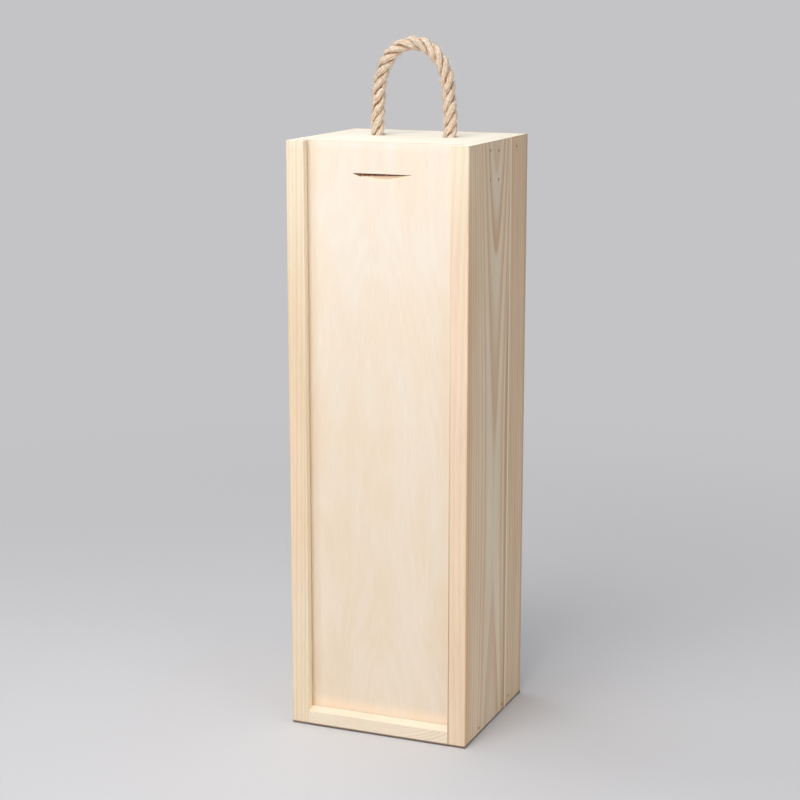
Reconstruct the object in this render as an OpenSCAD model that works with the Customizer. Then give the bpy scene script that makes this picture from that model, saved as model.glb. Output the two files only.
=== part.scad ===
// Wooden wine box for one bottle: nailed softwood boards, a plywood lid that slides up out
// of its grooves in front, a plywood back and a rope handle on top.
// Millimetres, +Z up. The origin is the middle of the underside, and the lid faces -Y.

/* [Box] */
// Outside width, left to right
box_w = 111; // [105:1:140]
// Outside depth, from the front edges of the sides to the back of the back panel
box_d = 100; // [95:1:140]
// Outside height, without the handle
box_h = 350; // [300:1:400]

/* [Boards] */
// Thickness of the side, top and bottom boards
board_t = 11; // [10:0.5:14]
// Thickness of the plywood back panel
panel_t = 4; // [3:0.5:6]
// Height of the batten under the top board
batten_h = 21; // [15:0.5:27]
// Depth of the batten, front to back
batten_d = 42; // [38:0.5:48]

/* [Lid] */
// Thickness of the sliding lid
lid_t = 4; // [3.5:0.1:5]
// Thickness of the lips in front of the lid
lip_t = 5.4; // [4:0.1:7]
// Depth of the lid's grooves
groove_depth = 5; // [3:0.5:6]
// How far the bottom lip slopes down to its front edge
lip_bevel = 2.5; // [0.5:0.1:3]
// Clearance between the lid and its grooves, all round
lid_gap = 0.3; // [0.2:0.05:0.6]

/* [Thumb notch] */
// Width of the notch's straight upper edge
notch_w = 35; // [25:1:45]
// Height of the notch
notch_h = 4; // [3:0.5:8]
// Depth of the notch under its upper edge
notch_deep = 2.5; // [1.5:0.1:3]
// Distance from the lid's top down to the notch's upper edge
notch_drop = 18; // [12:0.5:40]
// How far the notch lies to the right of the lid's middle
notch_off = 1.5; // [-5:0.5:5]

/* [Rope handle] */
// Thickness of the rope
rope_d = 8.5; // [6:0.5:10]
// Clearance between the rope and its holes, all round
rope_gap = 0.25; // [0.1:0.05:0.5]
// Distance from the front edge of the box back to the rope
rope_from_front = 57; // [52:0.5:62]
// Distance from the batten's front face back to the rope
rope_in_batten = 29; // [25:0.5:32]
// Height and depth of a knot, in rope thicknesses
knot_size = 2.8; // [2.4:0.1:3]
// Thickness of a knot from left to right, in rope thicknesses
knot_thick = 1.75; // [1.5:0.05:2]
// How far a knot's middle lies in front of the rope
knot_off = 4; // [0:0.5:5]
// Length of the rope end that sticks out under a knot
knot_tail = 6; // [3:0.5:10]

/* [Nails] */
// Length of the nails through the side boards, from the face to the tip
side_nail_l = 25; // [20:0.5:28]
// Length of the nails through the back panel
back_nail_l = 18; // [12:0.5:24]
// Thickness of a nail
nail_d = 1.4; // [1.2:0.1:1.8]
// Width of a nail's head
nail_head_d = 2.2; // [2:0.1:3]
// Thickness of a nail's head
nail_head_h = 0.8; // [0.5:0.1:1.2]
// How deep a nail's head is set below the face
nail_set = 0.4; // [0.2:0.1:1]
// Length of a nail's point
nail_point = 2; // [1:0.5:3]
// Clearance between a nail and its hole, all round
nail_gap = 0.03; // [0.02:0.01:0.05]
// Distance from the batten's front face back to its first nail
nail_in_batten = 7; // [5:0.5:10]
// Distance between the batten's two nails
nail_pitch = 14; // [10:0.5:16]
// Distance from the back of the box to the last nail in the top board
top_nail_back = 20; // [15:0.5:24]
// Distance from the front of the box to the first nail in the bottom board
bottom_nail_front = 24; // [18:0.5:30]
// Distance from the back of the box to the last nail in the bottom board
bottom_nail_back = 23; // [15:0.5:26]
// Distance between the last two nails in the bottom board
bottom_nail_pitch = 12; // [8:0.5:16]
// Number of nails in each long edge of the back panel
back_nails = 4; // [3:1:6]
// Distance from the ends of the box to the first and last of those nails
back_nail_end = 20; // [16:0.5:40]
// Distance from the middle to each nail in the back panel's short edges
back_nail_off = 18; // [10:0.5:25]

/* [Hidden] */

pine = "#E6D3B3";
plywood = "#F2E2C8";
jute = "#CDAA7D";
steel = "#8C8A86";

cut = 1;            // how far a cutting shape runs on past the face that it opens
left = -1;
right = 1;
round_fn = 48;

front_y = -box_d / 2;
back_y = box_d / 2;
edge_y = back_y - panel_t;                  // the boards' rear edges, which the back panel covers
inner_w = box_w - 2 * board_t;

groove_w = lid_t + 2 * lid_gap;
groove_y = front_y + lip_t;
stop_y = groove_y + groove_w;               // the grooves' rear wall and the top board's front edge
groove_floor = board_t - groove_depth;
lid_w = inner_w + 2 * (groove_depth - lid_gap);
lid_y = groove_y + lid_gap;
lid_foot = groove_floor + lid_gap;
cutter_r = (pow(notch_w / 2, 2) + pow(notch_deep, 2)) / (2 * notch_deep);

batten_top = box_h - board_t;
batten_foot = batten_top - batten_h;
rope_y = front_y + rope_from_front;
batten_y = rope_y - rope_in_batten;
rope_hole_d = rope_d + 2 * rope_gap;
knot_r = knot_size * rope_d / 2;
knot_half = knot_thick * rope_d / 2;
knot_round = 0.55 * rope_d;                 // a knot's edges are as round as the rope

// The rope's route above the box, from the left hole to the right one, as [x, height over the
// top]. Its ends stand upright in the middles of the rope holes.
loop_route = [
    [-22.5, 0], [-22.8, 10], [-22.2, 21], [-21, 32], [-17.5, 42], [-10.5, 50],
    [-0.5, 53.3], [9.5, 50.5], [16.8, 43], [20.8, 32.5], [22, 21], [22.8, 10], [22.5, 0]
];
loop_steps = 3;     // rings from one point of the route to the next
loop_sides = 12;
rope_x = abs(loop_route[0][0]);

// The nails of each row, as [y, height off the middle of the board they hold]. They were shot
// in by eye, so they wander a little.
top_nails = [
    [batten_y + nail_in_batten, 0.5],
    [batten_y + nail_in_batten + nail_pitch, -0.7],
    [back_y - top_nail_back, -0.5]
];
batten_nails = [
    [batten_y + nail_in_batten, 0.3],
    [batten_y + nail_in_batten + nail_pitch, -1]
];
bottom_nails = [
    [front_y + bottom_nail_front, -1.2],
    [back_y - bottom_nail_back - bottom_nail_pitch, -0.8],
    [back_y - bottom_nail_back, 0.4]
];
top_row_z = box_h - board_t / 2;
batten_row_z = batten_top - batten_h / 2;
bottom_row_z = board_t / 2;

// The point at the share t of the way from b to c on a smooth curve through a, b, c and d.
function curve_point(a, b, c, d, t) =
    0.5 * (2 * b + (c - a) * t + (2 * a - 5 * b + 4 * c - d) * t * t
           + (3 * b - a - 3 * c + d) * t * t * t);

// A route with one more point at each end, so that the curve leaves its ends upright.
function with_ends(route) =
    let (last = len(route) - 1, second = route[1], before = route[last - 1])
    concat([[second[0], -second[1]]], route, [[before[0], -before[1]]]);

function curve(route) =
    let (p = with_ends(route))
    concat(
        [for (i = [0 : len(route) - 2], k = [0 : loop_steps - 1])
            curve_point(p[i], p[i + 1], p[i + 2], p[i + 3], k / loop_steps)],
        [route[len(route) - 1]]);

// The direction of a line of points at its point i; the first and last stand upright.
function direction(line, i) =
    let (last = len(line) - 1,
         d = i == 0 ? [0, 1] : i == last ? [0, -1] : line[i + 1] - line[i - 1])
    d / norm(d);

// One ring of the tube round a line in the XZ plane.
function ring(line, i, r) =
    let (d = direction(line, i))
    [for (s = [0 : loop_sides - 1])
        let (angle = 360 * s / loop_sides)
        [line[i][0] + r * cos(angle) * d[1], r * sin(angle), line[i][1] - r * cos(angle) * d[0]]];

// A closed tube of thickness d along a line of points in the XZ plane.
module tube(line, d) {
    count = len(line);
    points = [for (i = [0 : count - 1]) each ring(line, i, d / 2)];
    walls = [for (i = [0 : count - 2], s = [0 : loop_sides - 1])
        let (a = i * loop_sides + s,
             b = i * loop_sides + (s + 1) % loop_sides)
        each [[a, a + loop_sides, b], [b, a + loop_sides, b + loop_sides]]];
    first = [for (s = [0 : loop_sides - 1]) s];
    last = [for (s = [loop_sides - 1 : -1 : 0]) (count - 1) * loop_sides + s];
    polyhedron(points, concat([first, last], walls));
}

// A nail driven down into a face at z = 0.
module nail(length) {
    translate([0, 0, -nail_set - nail_head_h])
        cylinder(h = nail_head_h, d = nail_head_d, $fn = round_fn);
    translate([0, 0, nail_point - length])
        cylinder(h = length - nail_point - nail_set, d = nail_d, $fn = round_fn);
    translate([0, 0, -length])
        cylinder(h = nail_point, d1 = nail_d / 4, d2 = nail_d, $fn = round_fn);
}

// The hole of such a nail, with its sunk head's pocket.
module nail_hole(length) {
    translate([0, 0, -nail_set - nail_head_h])
        cylinder(h = nail_head_h + nail_set + cut, d = nail_head_d + 2 * nail_gap, $fn = round_fn);
    translate([0, 0, -length - nail_gap])
        cylinder(h = length, d = nail_d + 2 * nail_gap, $fn = round_fn);
}

// Puts its child at each nail of a row in a side board, with the board's outside as its top.
module along_side(side, nails, row_z) {
    for (n = nails)
        translate([side * box_w / 2, n[0], row_z + n[1]])
            rotate([0, side * 90, 0])
                children();
}

module side_nails(side, nails, row_z) {
    along_side(side, nails, row_z)
        nail(side_nail_l);
}

module side_nail_holes(side, nails, row_z) {
    along_side(side, nails, row_z)
        nail_hole(side_nail_l);
}

// Puts its child at each nail along the back panel's long edges, driven towards the front.
module along_long_edges() {
    step = (box_h - 2 * back_nail_end) / (back_nails - 1);
    for (side = [left, right], i = [0 : back_nails - 1])
        translate([side * (box_w - board_t) / 2, back_y, back_nail_end + i * step])
            rotate([-90, 0, 0])
                children();
}

// The same along its short edges, into the top and bottom boards.
module along_short_edges() {
    for (side = [left, right], z = [bottom_row_z, top_row_z])
        translate([side * back_nail_off, back_y, z])
            rotate([-90, 0, 0])
                children();
}

module rope_holes() {
    for (side = [left, right])
        translate([side * rope_x, rope_y, batten_foot - cut])
            cylinder(h = box_h - batten_foot + 2 * cut, d = rope_hole_d, $fn = round_fn);
}

// The full-height board at one side, with the lid's groove in its inner face.
module side_board(side) {
    color(pine)
        difference() {
            translate([side * (box_w - board_t) / 2 - board_t / 2, front_y, 0])
                cube([board_t, edge_y - front_y, box_h]);
            translate([side * inner_w / 2 - groove_depth, groove_y, -cut])
                cube([2 * groove_depth, groove_w, box_h + 2 * cut]);
            side_nail_holes(side, top_nails, top_row_z);
            side_nail_holes(side, batten_nails, batten_row_z);
            side_nail_holes(side, bottom_nails, bottom_row_z);
            along_long_edges()
                nail_hole(back_nail_l);
        }
}

module side_left() {
    side_board(left);
}

module side_right() {
    side_board(right);
}

module top_board() {
    color(pine)
        difference() {
            translate([-inner_w / 2, stop_y, box_h - board_t])
                cube([inner_w, edge_y - stop_y, board_t]);
            rope_holes();
            for (side = [left, right])
                side_nail_holes(side, top_nails, top_row_z);
            along_short_edges()
                nail_hole(back_nail_l);
        }
}

// The bottom board, with a bevelled lip in front of the groove that the lid stands in.
module bottom_board() {
    color(pine)
        difference() {
            translate([-inner_w / 2, 0, 0])
                rotate([90, 0, 90])
                    linear_extrude(inner_w)
                        polygon([
                            [front_y, 0], [edge_y, 0], [edge_y, board_t], [stop_y, board_t],
                            [stop_y, groove_floor], [groove_y, groove_floor], [groove_y, board_t],
                            [front_y, board_t - lip_bevel]
                        ]);
            for (side = [left, right])
                side_nail_holes(side, bottom_nails, bottom_row_z);
            along_short_edges()
                nail_hole(back_nail_l);
        }
}

// The panel that covers the whole back.
module back_panel() {
    color(plywood)
        difference() {
            translate([-box_w / 2, edge_y, 0])
                cube([box_w, panel_t, box_h]);
            along_long_edges()
                nail_hole(back_nail_l);
            along_short_edges()
                nail_hole(back_nail_l);
        }
}

// The batten under the top board, which the rope passes through to its knots.
module handle_batten() {
    color(pine)
        difference() {
            translate([-inner_w / 2, batten_y, batten_foot])
                cube([inner_w, batten_d, batten_h]);
            rope_holes();
            for (side = [left, right])
                side_nail_holes(side, batten_nails, batten_row_z);
        }
}

// The notch that a thumb pushes up: a slice of a wide cone, so that its upper edge is straight
// and its lower edge an arc.
module thumb_notch() {
    slope = notch_deep / notch_h;
    depth = notch_h + cut;
    axis_y = lid_y - cutter_r + notch_deep;
    translate([notch_off, axis_y, box_h - notch_drop - depth])
        cylinder(h = depth, r1 = cutter_r - slope * depth, r2 = cutter_r, $fn = 4 * round_fn);
}

module lid() {
    color(plywood)
        difference() {
            translate([-lid_w / 2, lid_y, lid_foot])
                cube([lid_w, lid_t, box_h - lid_foot]);
            thumb_notch();
        }
}

// The rope's arch above the top board.
module rope_loop() {
    color(jute)
        translate([0, rope_y, box_h])
            tube(curve(loop_route), rope_d);
}

// A knot's body, as a thick disc with round edges that faces the sides. Its top is at z = 0.
module knot() {
    translate([0, 0, -knot_r])
        rotate([0, 90, 0])
            rotate_extrude($fn = round_fn) {
                translate([0, -knot_half])
                    square([knot_r - knot_round, 2 * knot_half]);
                translate([0, knot_round - knot_half])
                    square([knot_r, 2 * (knot_half - knot_round)]);
                for (end = [-1, 1])
                    translate([knot_r - knot_round, end * (knot_half - knot_round)])
                        circle(knot_round, $fn = round_fn);
            }
}

// The rope from the top board's face down through its hole, to the knot under the batten and
// the short end that leaves it at its rear side.
module rope_end(side) {
    color(jute)
        translate([side * rope_x, rope_y, batten_foot]) {
            translate([0, 0, -knot_r])
                cylinder(h = box_h - batten_foot + knot_r, d = rope_d, $fn = round_fn);
            translate([0, -knot_off, 0])
                knot();
            translate([0, knot_r - rope_d / 2 - knot_off, -2 * knot_r - knot_tail])
                cylinder(h = knot_r + knot_tail, d = rope_d, $fn = round_fn);
        }
}

module rope_end_left() {
    rope_end(left);
}

module rope_end_right() {
    rope_end(right);
}

module nails_top_left() {
    color(steel)
        side_nails(left, top_nails, top_row_z);
}

module nails_top_right() {
    color(steel)
        side_nails(right, top_nails, top_row_z);
}

module nails_batten_left() {
    color(steel)
        side_nails(left, batten_nails, batten_row_z);
}

module nails_batten_right() {
    color(steel)
        side_nails(right, batten_nails, batten_row_z);
}

module nails_bottom_left() {
    color(steel)
        side_nails(left, bottom_nails, bottom_row_z);
}

module nails_bottom_right() {
    color(steel)
        side_nails(right, bottom_nails, bottom_row_z);
}

module nails_back_long() {
    color(steel)
        along_long_edges()
            nail(back_nail_l);
}

module nails_back_short() {
    color(steel)
        along_short_edges()
            nail(back_nail_l);
}

side_left();
side_right();
top_board();
bottom_board();
back_panel();
handle_batten();
lid();
rope_loop();
rope_end_left();
rope_end_right();
nails_top_left();
nails_top_right();
nails_batten_left();
nails_batten_right();
nails_bottom_left();
nails_bottom_right();
nails_back_long();
nails_back_short();
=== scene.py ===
# Wooden wine box: the looks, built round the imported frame. Metres, Z up, the lid faces -Y.
import math

import bmesh
import bpy
from mathutils import Matrix, Vector


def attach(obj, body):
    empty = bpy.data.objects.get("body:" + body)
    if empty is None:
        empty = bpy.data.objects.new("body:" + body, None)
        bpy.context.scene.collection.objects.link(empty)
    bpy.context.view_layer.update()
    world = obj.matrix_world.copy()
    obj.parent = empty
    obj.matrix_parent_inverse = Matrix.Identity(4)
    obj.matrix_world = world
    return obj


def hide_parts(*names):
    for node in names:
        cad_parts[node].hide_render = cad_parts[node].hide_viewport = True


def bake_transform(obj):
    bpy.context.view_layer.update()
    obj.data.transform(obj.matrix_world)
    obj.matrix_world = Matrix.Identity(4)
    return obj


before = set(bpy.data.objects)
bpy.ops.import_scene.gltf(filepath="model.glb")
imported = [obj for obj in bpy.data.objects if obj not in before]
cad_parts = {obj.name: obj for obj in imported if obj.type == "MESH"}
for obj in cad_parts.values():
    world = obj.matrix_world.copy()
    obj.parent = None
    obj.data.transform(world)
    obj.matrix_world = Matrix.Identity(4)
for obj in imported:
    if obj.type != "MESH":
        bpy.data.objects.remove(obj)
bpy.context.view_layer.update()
mm = 0.001
scene = bpy.context.scene
print("frame loaded")


cameraSet = {
    "target": (-0.0050, -0.0020, 0.1940),
    "distance": 1.1445,
    "azimuth": 22.30,       # degrees from straight in front, towards the right side
    "elevation": 12.21,
    "lens": 86.36,
}


def addObject(name, data):
    made = bpy.data.objects.new(name, data)
    scene.collection.objects.link(made)
    return made


def makeCamera(size):
    data = bpy.data.cameras.new("camera")
    data.lens = size["lens"]
    data.sensor_width = 36
    camera = addObject("camera", data)
    a, e = math.radians(size["azimuth"]), math.radians(size["elevation"])
    away = Vector((math.sin(a) * math.cos(e), -math.cos(a) * math.cos(e), math.sin(e)))
    camera.location = Vector(size["target"]) + size["distance"] * away
    camera.rotation_euler = away.to_track_quat("Z", "Y").to_euler()
    scene.camera = camera


makeCamera(cameraSet)
scene.view_settings.view_transform = "Standard"
print("camera made")


# Shorthand for a node tree, which is n below: a value that is a socket is linked, anything
# else is set.
class Nodes:
    def __init__(self, tree):
        self.tree = tree

    def add(self, kind, inputs=(), **settings):
        made = self.tree.nodes.new(kind)
        for name, value in settings.items():
            setattr(made, name, value)
        for key, value in dict(inputs).items():
            if isinstance(value, bpy.types.NodeSocket):
                self.link(value, made.inputs[key])
            else:
                made.inputs[key].default_value = value
        return made

    def link(self, value, socket):
        self.tree.links.new(value, socket)

    def maths(self, operation, *values):
        return self.add("ShaderNodeMath", enumerate(values), operation=operation).outputs[0]

    def times(self, product, *values):
        for value in values:
            product = self.maths("MULTIPLY", product, value)
        return product

    def vectors(self, operation, *values, out="Vector", **inputs):
        return self.add("ShaderNodeVectorMath", {**dict(enumerate(values)), **inputs},
                        operation=operation).outputs[out]

    def scaled(self, vector, amount):
        return self.vectors("SCALE", vector, Scale=amount)

    def dot(self, a, b):
        return self.vectors("DOT_PRODUCT", a, b, out="Value")

    def split(self, vector):
        return self.add("ShaderNodeSeparateXYZ", {0: vector}).outputs

    def joined(self, *values):
        return self.add("ShaderNodeCombineXYZ", enumerate(values)).outputs[0]

    def smooth(self, value, low, high, outLow=0.0, outHigh=1.0):
        return self.add("ShaderNodeMapRange", enumerate((value, low, high, outLow, outHigh)),
                        interpolation_type="SMOOTHSTEP").outputs[0]

    def noise(self, vector, scale, detail=2.0, stretch=None, colour=False, **inputs):
        if stretch:
            vector = self.vectors("MULTIPLY", vector, stretch)
        given = {"Vector": vector, "Scale": scale, "Detail": detail, **inputs}
        return self.add("ShaderNodeTexNoise", given).outputs["Color" if colour else "Fac"]

    def noiseAlong(self, value):
        return self.add("ShaderNodeTexNoise", {"W": value, "Scale": 1.0, "Detail": 1.0},
                        noise_dimensions="1D").outputs["Fac"]

    def mix(self, amount, a, b, blend="MIX"):
        return self.add("ShaderNodeMix", {0: amount, 6: a, 7: b},
                        data_type="RGBA", blend_type=blend).outputs[2]

    def over(self, base, top, *amounts, blend="MIX"):
        # lays a colour over base by the product of the amounts
        return self.mix(self.times(*amounts), base, top, blend)

    def attribute(self, name, out="Fac"):
        return self.add("ShaderNodeAttribute", attribute_name=name).outputs[out]

    def coordinate(self, kind="Object"):
        return self.add("ShaderNodeTexCoord").outputs[kind]

    def geometry(self, kind, inputs=(), **settings):
        return self.add("GeometryNode" + kind, inputs, **settings).outputs[0]

    def store(self, shape, name, value, kind="FLOAT"):
        return self.geometry("StoreNamedAttribute", {"Geometry": shape, "Name": name, "Value": value},
                             data_type=kind, domain="POINT")

    def giveOut(self, kind, values):
        for name in values:
            self.tree.interface.new_socket(name, in_out="OUTPUT", socket_type="NodeSocket" + kind)
        end = self.add("NodeGroupOutput")
        for name, value in values.items():
            self.link(value, end.inputs[name])
        return self.tree


def newGroup(name, kind, inputs):
    # an input's value is its kind, or a number: then it is a float that begins with it
    n = Nodes(bpy.data.node_groups.new(name, kind))
    for label, value in inputs.items():
        isKind = isinstance(value, str)
        socket = n.tree.interface.new_socket(
            label, in_out="INPUT", socket_type="NodeSocket" + (value if isKind else "Float"))
        if not isKind:
            socket.default_value = value
    return n, n.add("NodeGroupInput").outputs


def colour(red, green, blue):
    values = [v / 255 for v in (red, green, blue)]
    return tuple(v / 12.92 if v <= 0.04045 else ((v + 0.055) / 1.055) ** 2.4 for v in values) + (1.0,)


# Softwood as a solid: year rings round a pith line that runs along Z, in millimetres.
def softwoodGrain():
    n, given = newGroup("Softwood grain", "ShaderNodeTree", {
        "Vector": "Vector", "Ring Width": 2.4, "Wander": 1.5, "Uneven": 0.8, "Bow": 0.0,
        "Seed": 0.0, "First Year": 0.0})
    place, seed = given["Vector"], given["Seed"]
    seeded = n.vectors("ADD", place, n.joined(0.0, 0.0, n.times(seed, 137.0)))
    wander = n.noise(seeded, 1.0, 1.0, (0.05, 0.05, 0.006), colour=True)
    wander = n.scaled(n.vectors("SUBTRACT", wander, (0.5,) * 3), given["Wander"])
    upwards = n.split(place)[2]
    bowed = n.joined(n.times(upwards, upwards, given["Bow"]))
    curved = n.vectors("SUBTRACT", place, bowed)
    across = n.split(n.vectors("ADD", curved, wander))
    radius = n.vectors("LENGTH", n.joined(across[0], across[1]), out="Value")
    years = n.maths("DIVIDE", radius, given["Ring Width"])
    spread = n.noiseAlong(n.maths("ADD", n.times(years, 0.7), seed))
    years = n.maths("MULTIPLY_ADD", n.maths("SUBTRACT", spread, 0.5), given["Uneven"], years)
    part = n.maths("FRACT", years)
    number = n.maths("ADD", n.maths("FLOOR", years), n.maths("ADD", seed, given["First Year"]))
    strength = n.add("ShaderNodeTexWhiteNoise", {"W": number}, noise_dimensions="1D").outputs["Value"]
    late = n.times(n.smooth(part, 0.30, 0.86), n.smooth(part, 0.90, 1.0, 1.0, 0.0),
                   n.maths("MULTIPLY_ADD", strength, 0.5, 0.5))
    return n.giveOut("Float", {
        "Latewood": late, "Fibre": n.noise(seeded, 3.2, 3.0, (1.0, 1.0, 0.018), Roughness=0.65),
        "Fleck": n.smooth(n.noise(seeded, 1.5, 1.0, (1.0, 1.0, 0.12)), 0.70, 0.80),
        "Tone": n.noise(seeded, 0.045, 2.0, (1.0, 1.0, 0.2)),
        "Tint": n.noise(seeded, 0.28, 1.0, (1.0, 1.0, 0.02))})


# Rotary-cut veneer in plies, in millimetres: the grain runs along Z and the depth along Y.
def veneerFigure():
    n, given = newGroup("Veneer figure", "ShaderNodeTree", {
        "Vector": "Vector", "Thickness": 4.0, "Face Ply": 0.9, "Seed": 0.0})
    place, facePly, seed = given["Vector"], given["Face Ply"], given["Seed"]
    seeded = n.vectors("ADD", place, n.joined(n.times(seed, 91.0)))
    # the figure's bands arch over a line near the middle, and wander
    across, depth, upwards = n.split(place)
    middle = n.maths("MULTIPLY_ADD", seed, 6.0, -8.0)
    off = n.maths("ABSOLUTE", n.maths("SUBTRACT", across, middle))
    arch = n.maths("ADD", n.times(off, 0.085), n.times(upwards, 0.022))
    hills = n.noise(seeded, 1.0, 2.0, (0.026, 0.0, 0.0060))
    bands = n.maths("FRACT", n.maths("MULTIPLY_ADD", hills, 9.0, arch))
    rear = n.maths("SUBTRACT", given["Thickness"], facePly)
    glue = [n.maths("COMPARE", depth, joint, 0.07) for joint in (facePly, rear)]
    return n.giveOut("Float", {
        "Figure": n.times(n.smooth(bands, 0.0, 0.65), n.smooth(bands, 0.70, 1.0, 1.0, 0.0)),
        "Fibre": n.noise(seeded, 2.6, 3.0, (1.0, 1.0, 0.03), Roughness=0.6),
        "Tone": n.noise(seeded, 0.05, 2.0, (1.0, 0.0, 0.3)),
        "Core": n.times(n.maths("GREATER_THAN", depth, facePly), n.maths("LESS_THAN", depth, rear)),
        "Glue": n.maths("ADD", *glue)})


grainGroup = softwoodGrain()
veneerGroup = veneerFigure()


def newMaterial(name):
    material = bpy.data.materials.new(name)
    material.use_nodes = True
    n = Nodes(material.node_tree)
    return material, n, n.tree.nodes["Principled BSDF"]


def dress(n, shader, base, rough, height, strength, distance, plain):
    # fills the shader: colour, roughness, a bump of distance metres, and the plain values
    n.link(base, shader.inputs["Base Color"])
    n.link(rough, shader.inputs["Roughness"])
    bump = n.add("ShaderNodeBump", {"Strength": strength, "Distance": distance, "Height": height})
    n.link(bump.outputs[0], shader.inputs["Normal"])
    for name, value in plain.items():
        shader.inputs[name].default_value = value


def objectPlace(n, origin, turn=(0, 0, 0)):
    given = {"Vector": n.coordinate(), "Location": origin, "Rotation": turn, "Scale": (mm,) * 3}
    return n.add("ShaderNodeMapping", given, vector_type="TEXTURE").outputs[0]


wood = {
    "sapwood": colour(250, 234, 208),
    "latewood": colour(217, 170, 127),
    "heart": colour(232, 208, 176),       # what the broad tone drifts to
    "fleck": colour(196, 160, 124),
    "endGrain": colour(249, 245, 232),
    "resin": colour(184, 148, 106),       # a band beside a glued seam
    "crest": colour(255, 238, 214),       # and the pale line behind it
    "cool": colour(232, 240, 228),        # the whiter wood in the middle of a slab
    "bare": colour(252, 246, 234),        # the paler wood that a board's pale strength draws it towards
    # painted bounce light, which pales the faces inside the recess
    "inside": colour(255, 245, 222),
    "pink": (1.015, 0.985, 0.985, 1.0),   # the wood's tint drifts between these two
    "olive": (0.985, 1.005, 0.965, 1.0),
    "warm": (0.95, 0.84, 0.75, 1.0),      # the redder wood along a front edge
    # a greyer tint for parts of the board tops
    "greyer": (0.95, 0.97, 0.99, 1.0),
    "joint": (0.50, 0.40, 0.33, 1.0),     # painted shadow along the line where a stile meets the lid
    "upperEdgeHighlight": (1.0, 1.045, 1.08, 1.0),    # a painted highlight along the upper arris
    "footShadeTint": (0.94, 0.86, 0.80, 1.0),       # painted shade that the wood takes on towards its foot
    "contactShadow": (0.27, 0.22, 0.20, 1.0),    # a painted contact shadow along the arris that it stands on
}


def whereOn(n):
    # the point's X, Y and Z on the box, in metres
    return n.split(n.coordinate())


# Painted shade, darker and browner towards the foot, by the given amount.
def shadeTowardsFoot(n, base, amount, facing=None, footShadeTint=wood["footShadeTint"]):
    height = whereOn(n)[2]
    low = n.smooth(height, 0.35, 0.11)
    if facing:
        # the flat sides have it all the way up
        low = n.maths("MAXIMUM", low, n.split(facing)[0])
    base = n.over(base, footShadeTint, low, amount, blend="MULTIPLY")
    # a painted contact shadow along the foot's arris
    return n.over(base, wood["contactShadow"], n.smooth(height, 0.0021, 0.0012), blend="MULTIPLY")


# Places with another tone. A zone gives, for the axes it names, where it begins and where it
# is full, in metres, and may give the faces that it lies on by their direction.
def zoned(n, base, zones, spot, facing=None):
    for zone in zones:
        amount = zone.get("amount", 1.0)
        if "faces" in zone:
            amount = n.dot(facing, zone["faces"])
        for value, axis in zip(spot, "xyz"):
            for limits in zone.get(axis, ()):
                amount = n.times(amount, n.smooth(value, *limits))
        base = n.mix(amount, base, zone["tint"], zone.get("blend", "MULTIPLY"))
    return base


def streaked(n, base, fibre, low, high):
    streak = n.smooth(fibre, 0.3, 0.7, low, high)
    grey = n.add("ShaderNodeCombineColor", {0: streak, 1: streak, 2: streak}).outputs[0]
    return n.mix(1.0, base, grey, "MULTIPLY")


# What a softwood is unless its board says otherwise. rings, wander, uneven, bow, seed and
# firstYear go to the grain; late, tone, pale, cool and shadeTowardsFoot are strengths; the last
# is how much painted shade lies towards the foot.
plainSoftwood = {
    "rings": 2.4, "wander": 2.5, "uneven": 0.8, "bow": 0.0, "seed": 0.0, "firstYear": 0.0,
    "late": 0.75, "tone": 0.35, "pale": 0.0, "cool": 0.0, "shadeTowardsFoot": 0.0,
    "quiet": (0.0, 0.0, 0.0),   # how much weaker the year lines are on faces along X, Y and Z
    "flank": None,              # an axis, and where and how the year lines change along it
    "zones": (),
}
coolBand = {"middle": -0.007, "edge": 0.017, "full": 0.006}
endPallor = 0.65


# off a glued seam, in metres: where its dark band and its pale line begin and are full
seamMarks = {"band": (-0.0060, -0.0022), "line": (0.0026, 0.0010), "glue": 0.00022}


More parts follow.
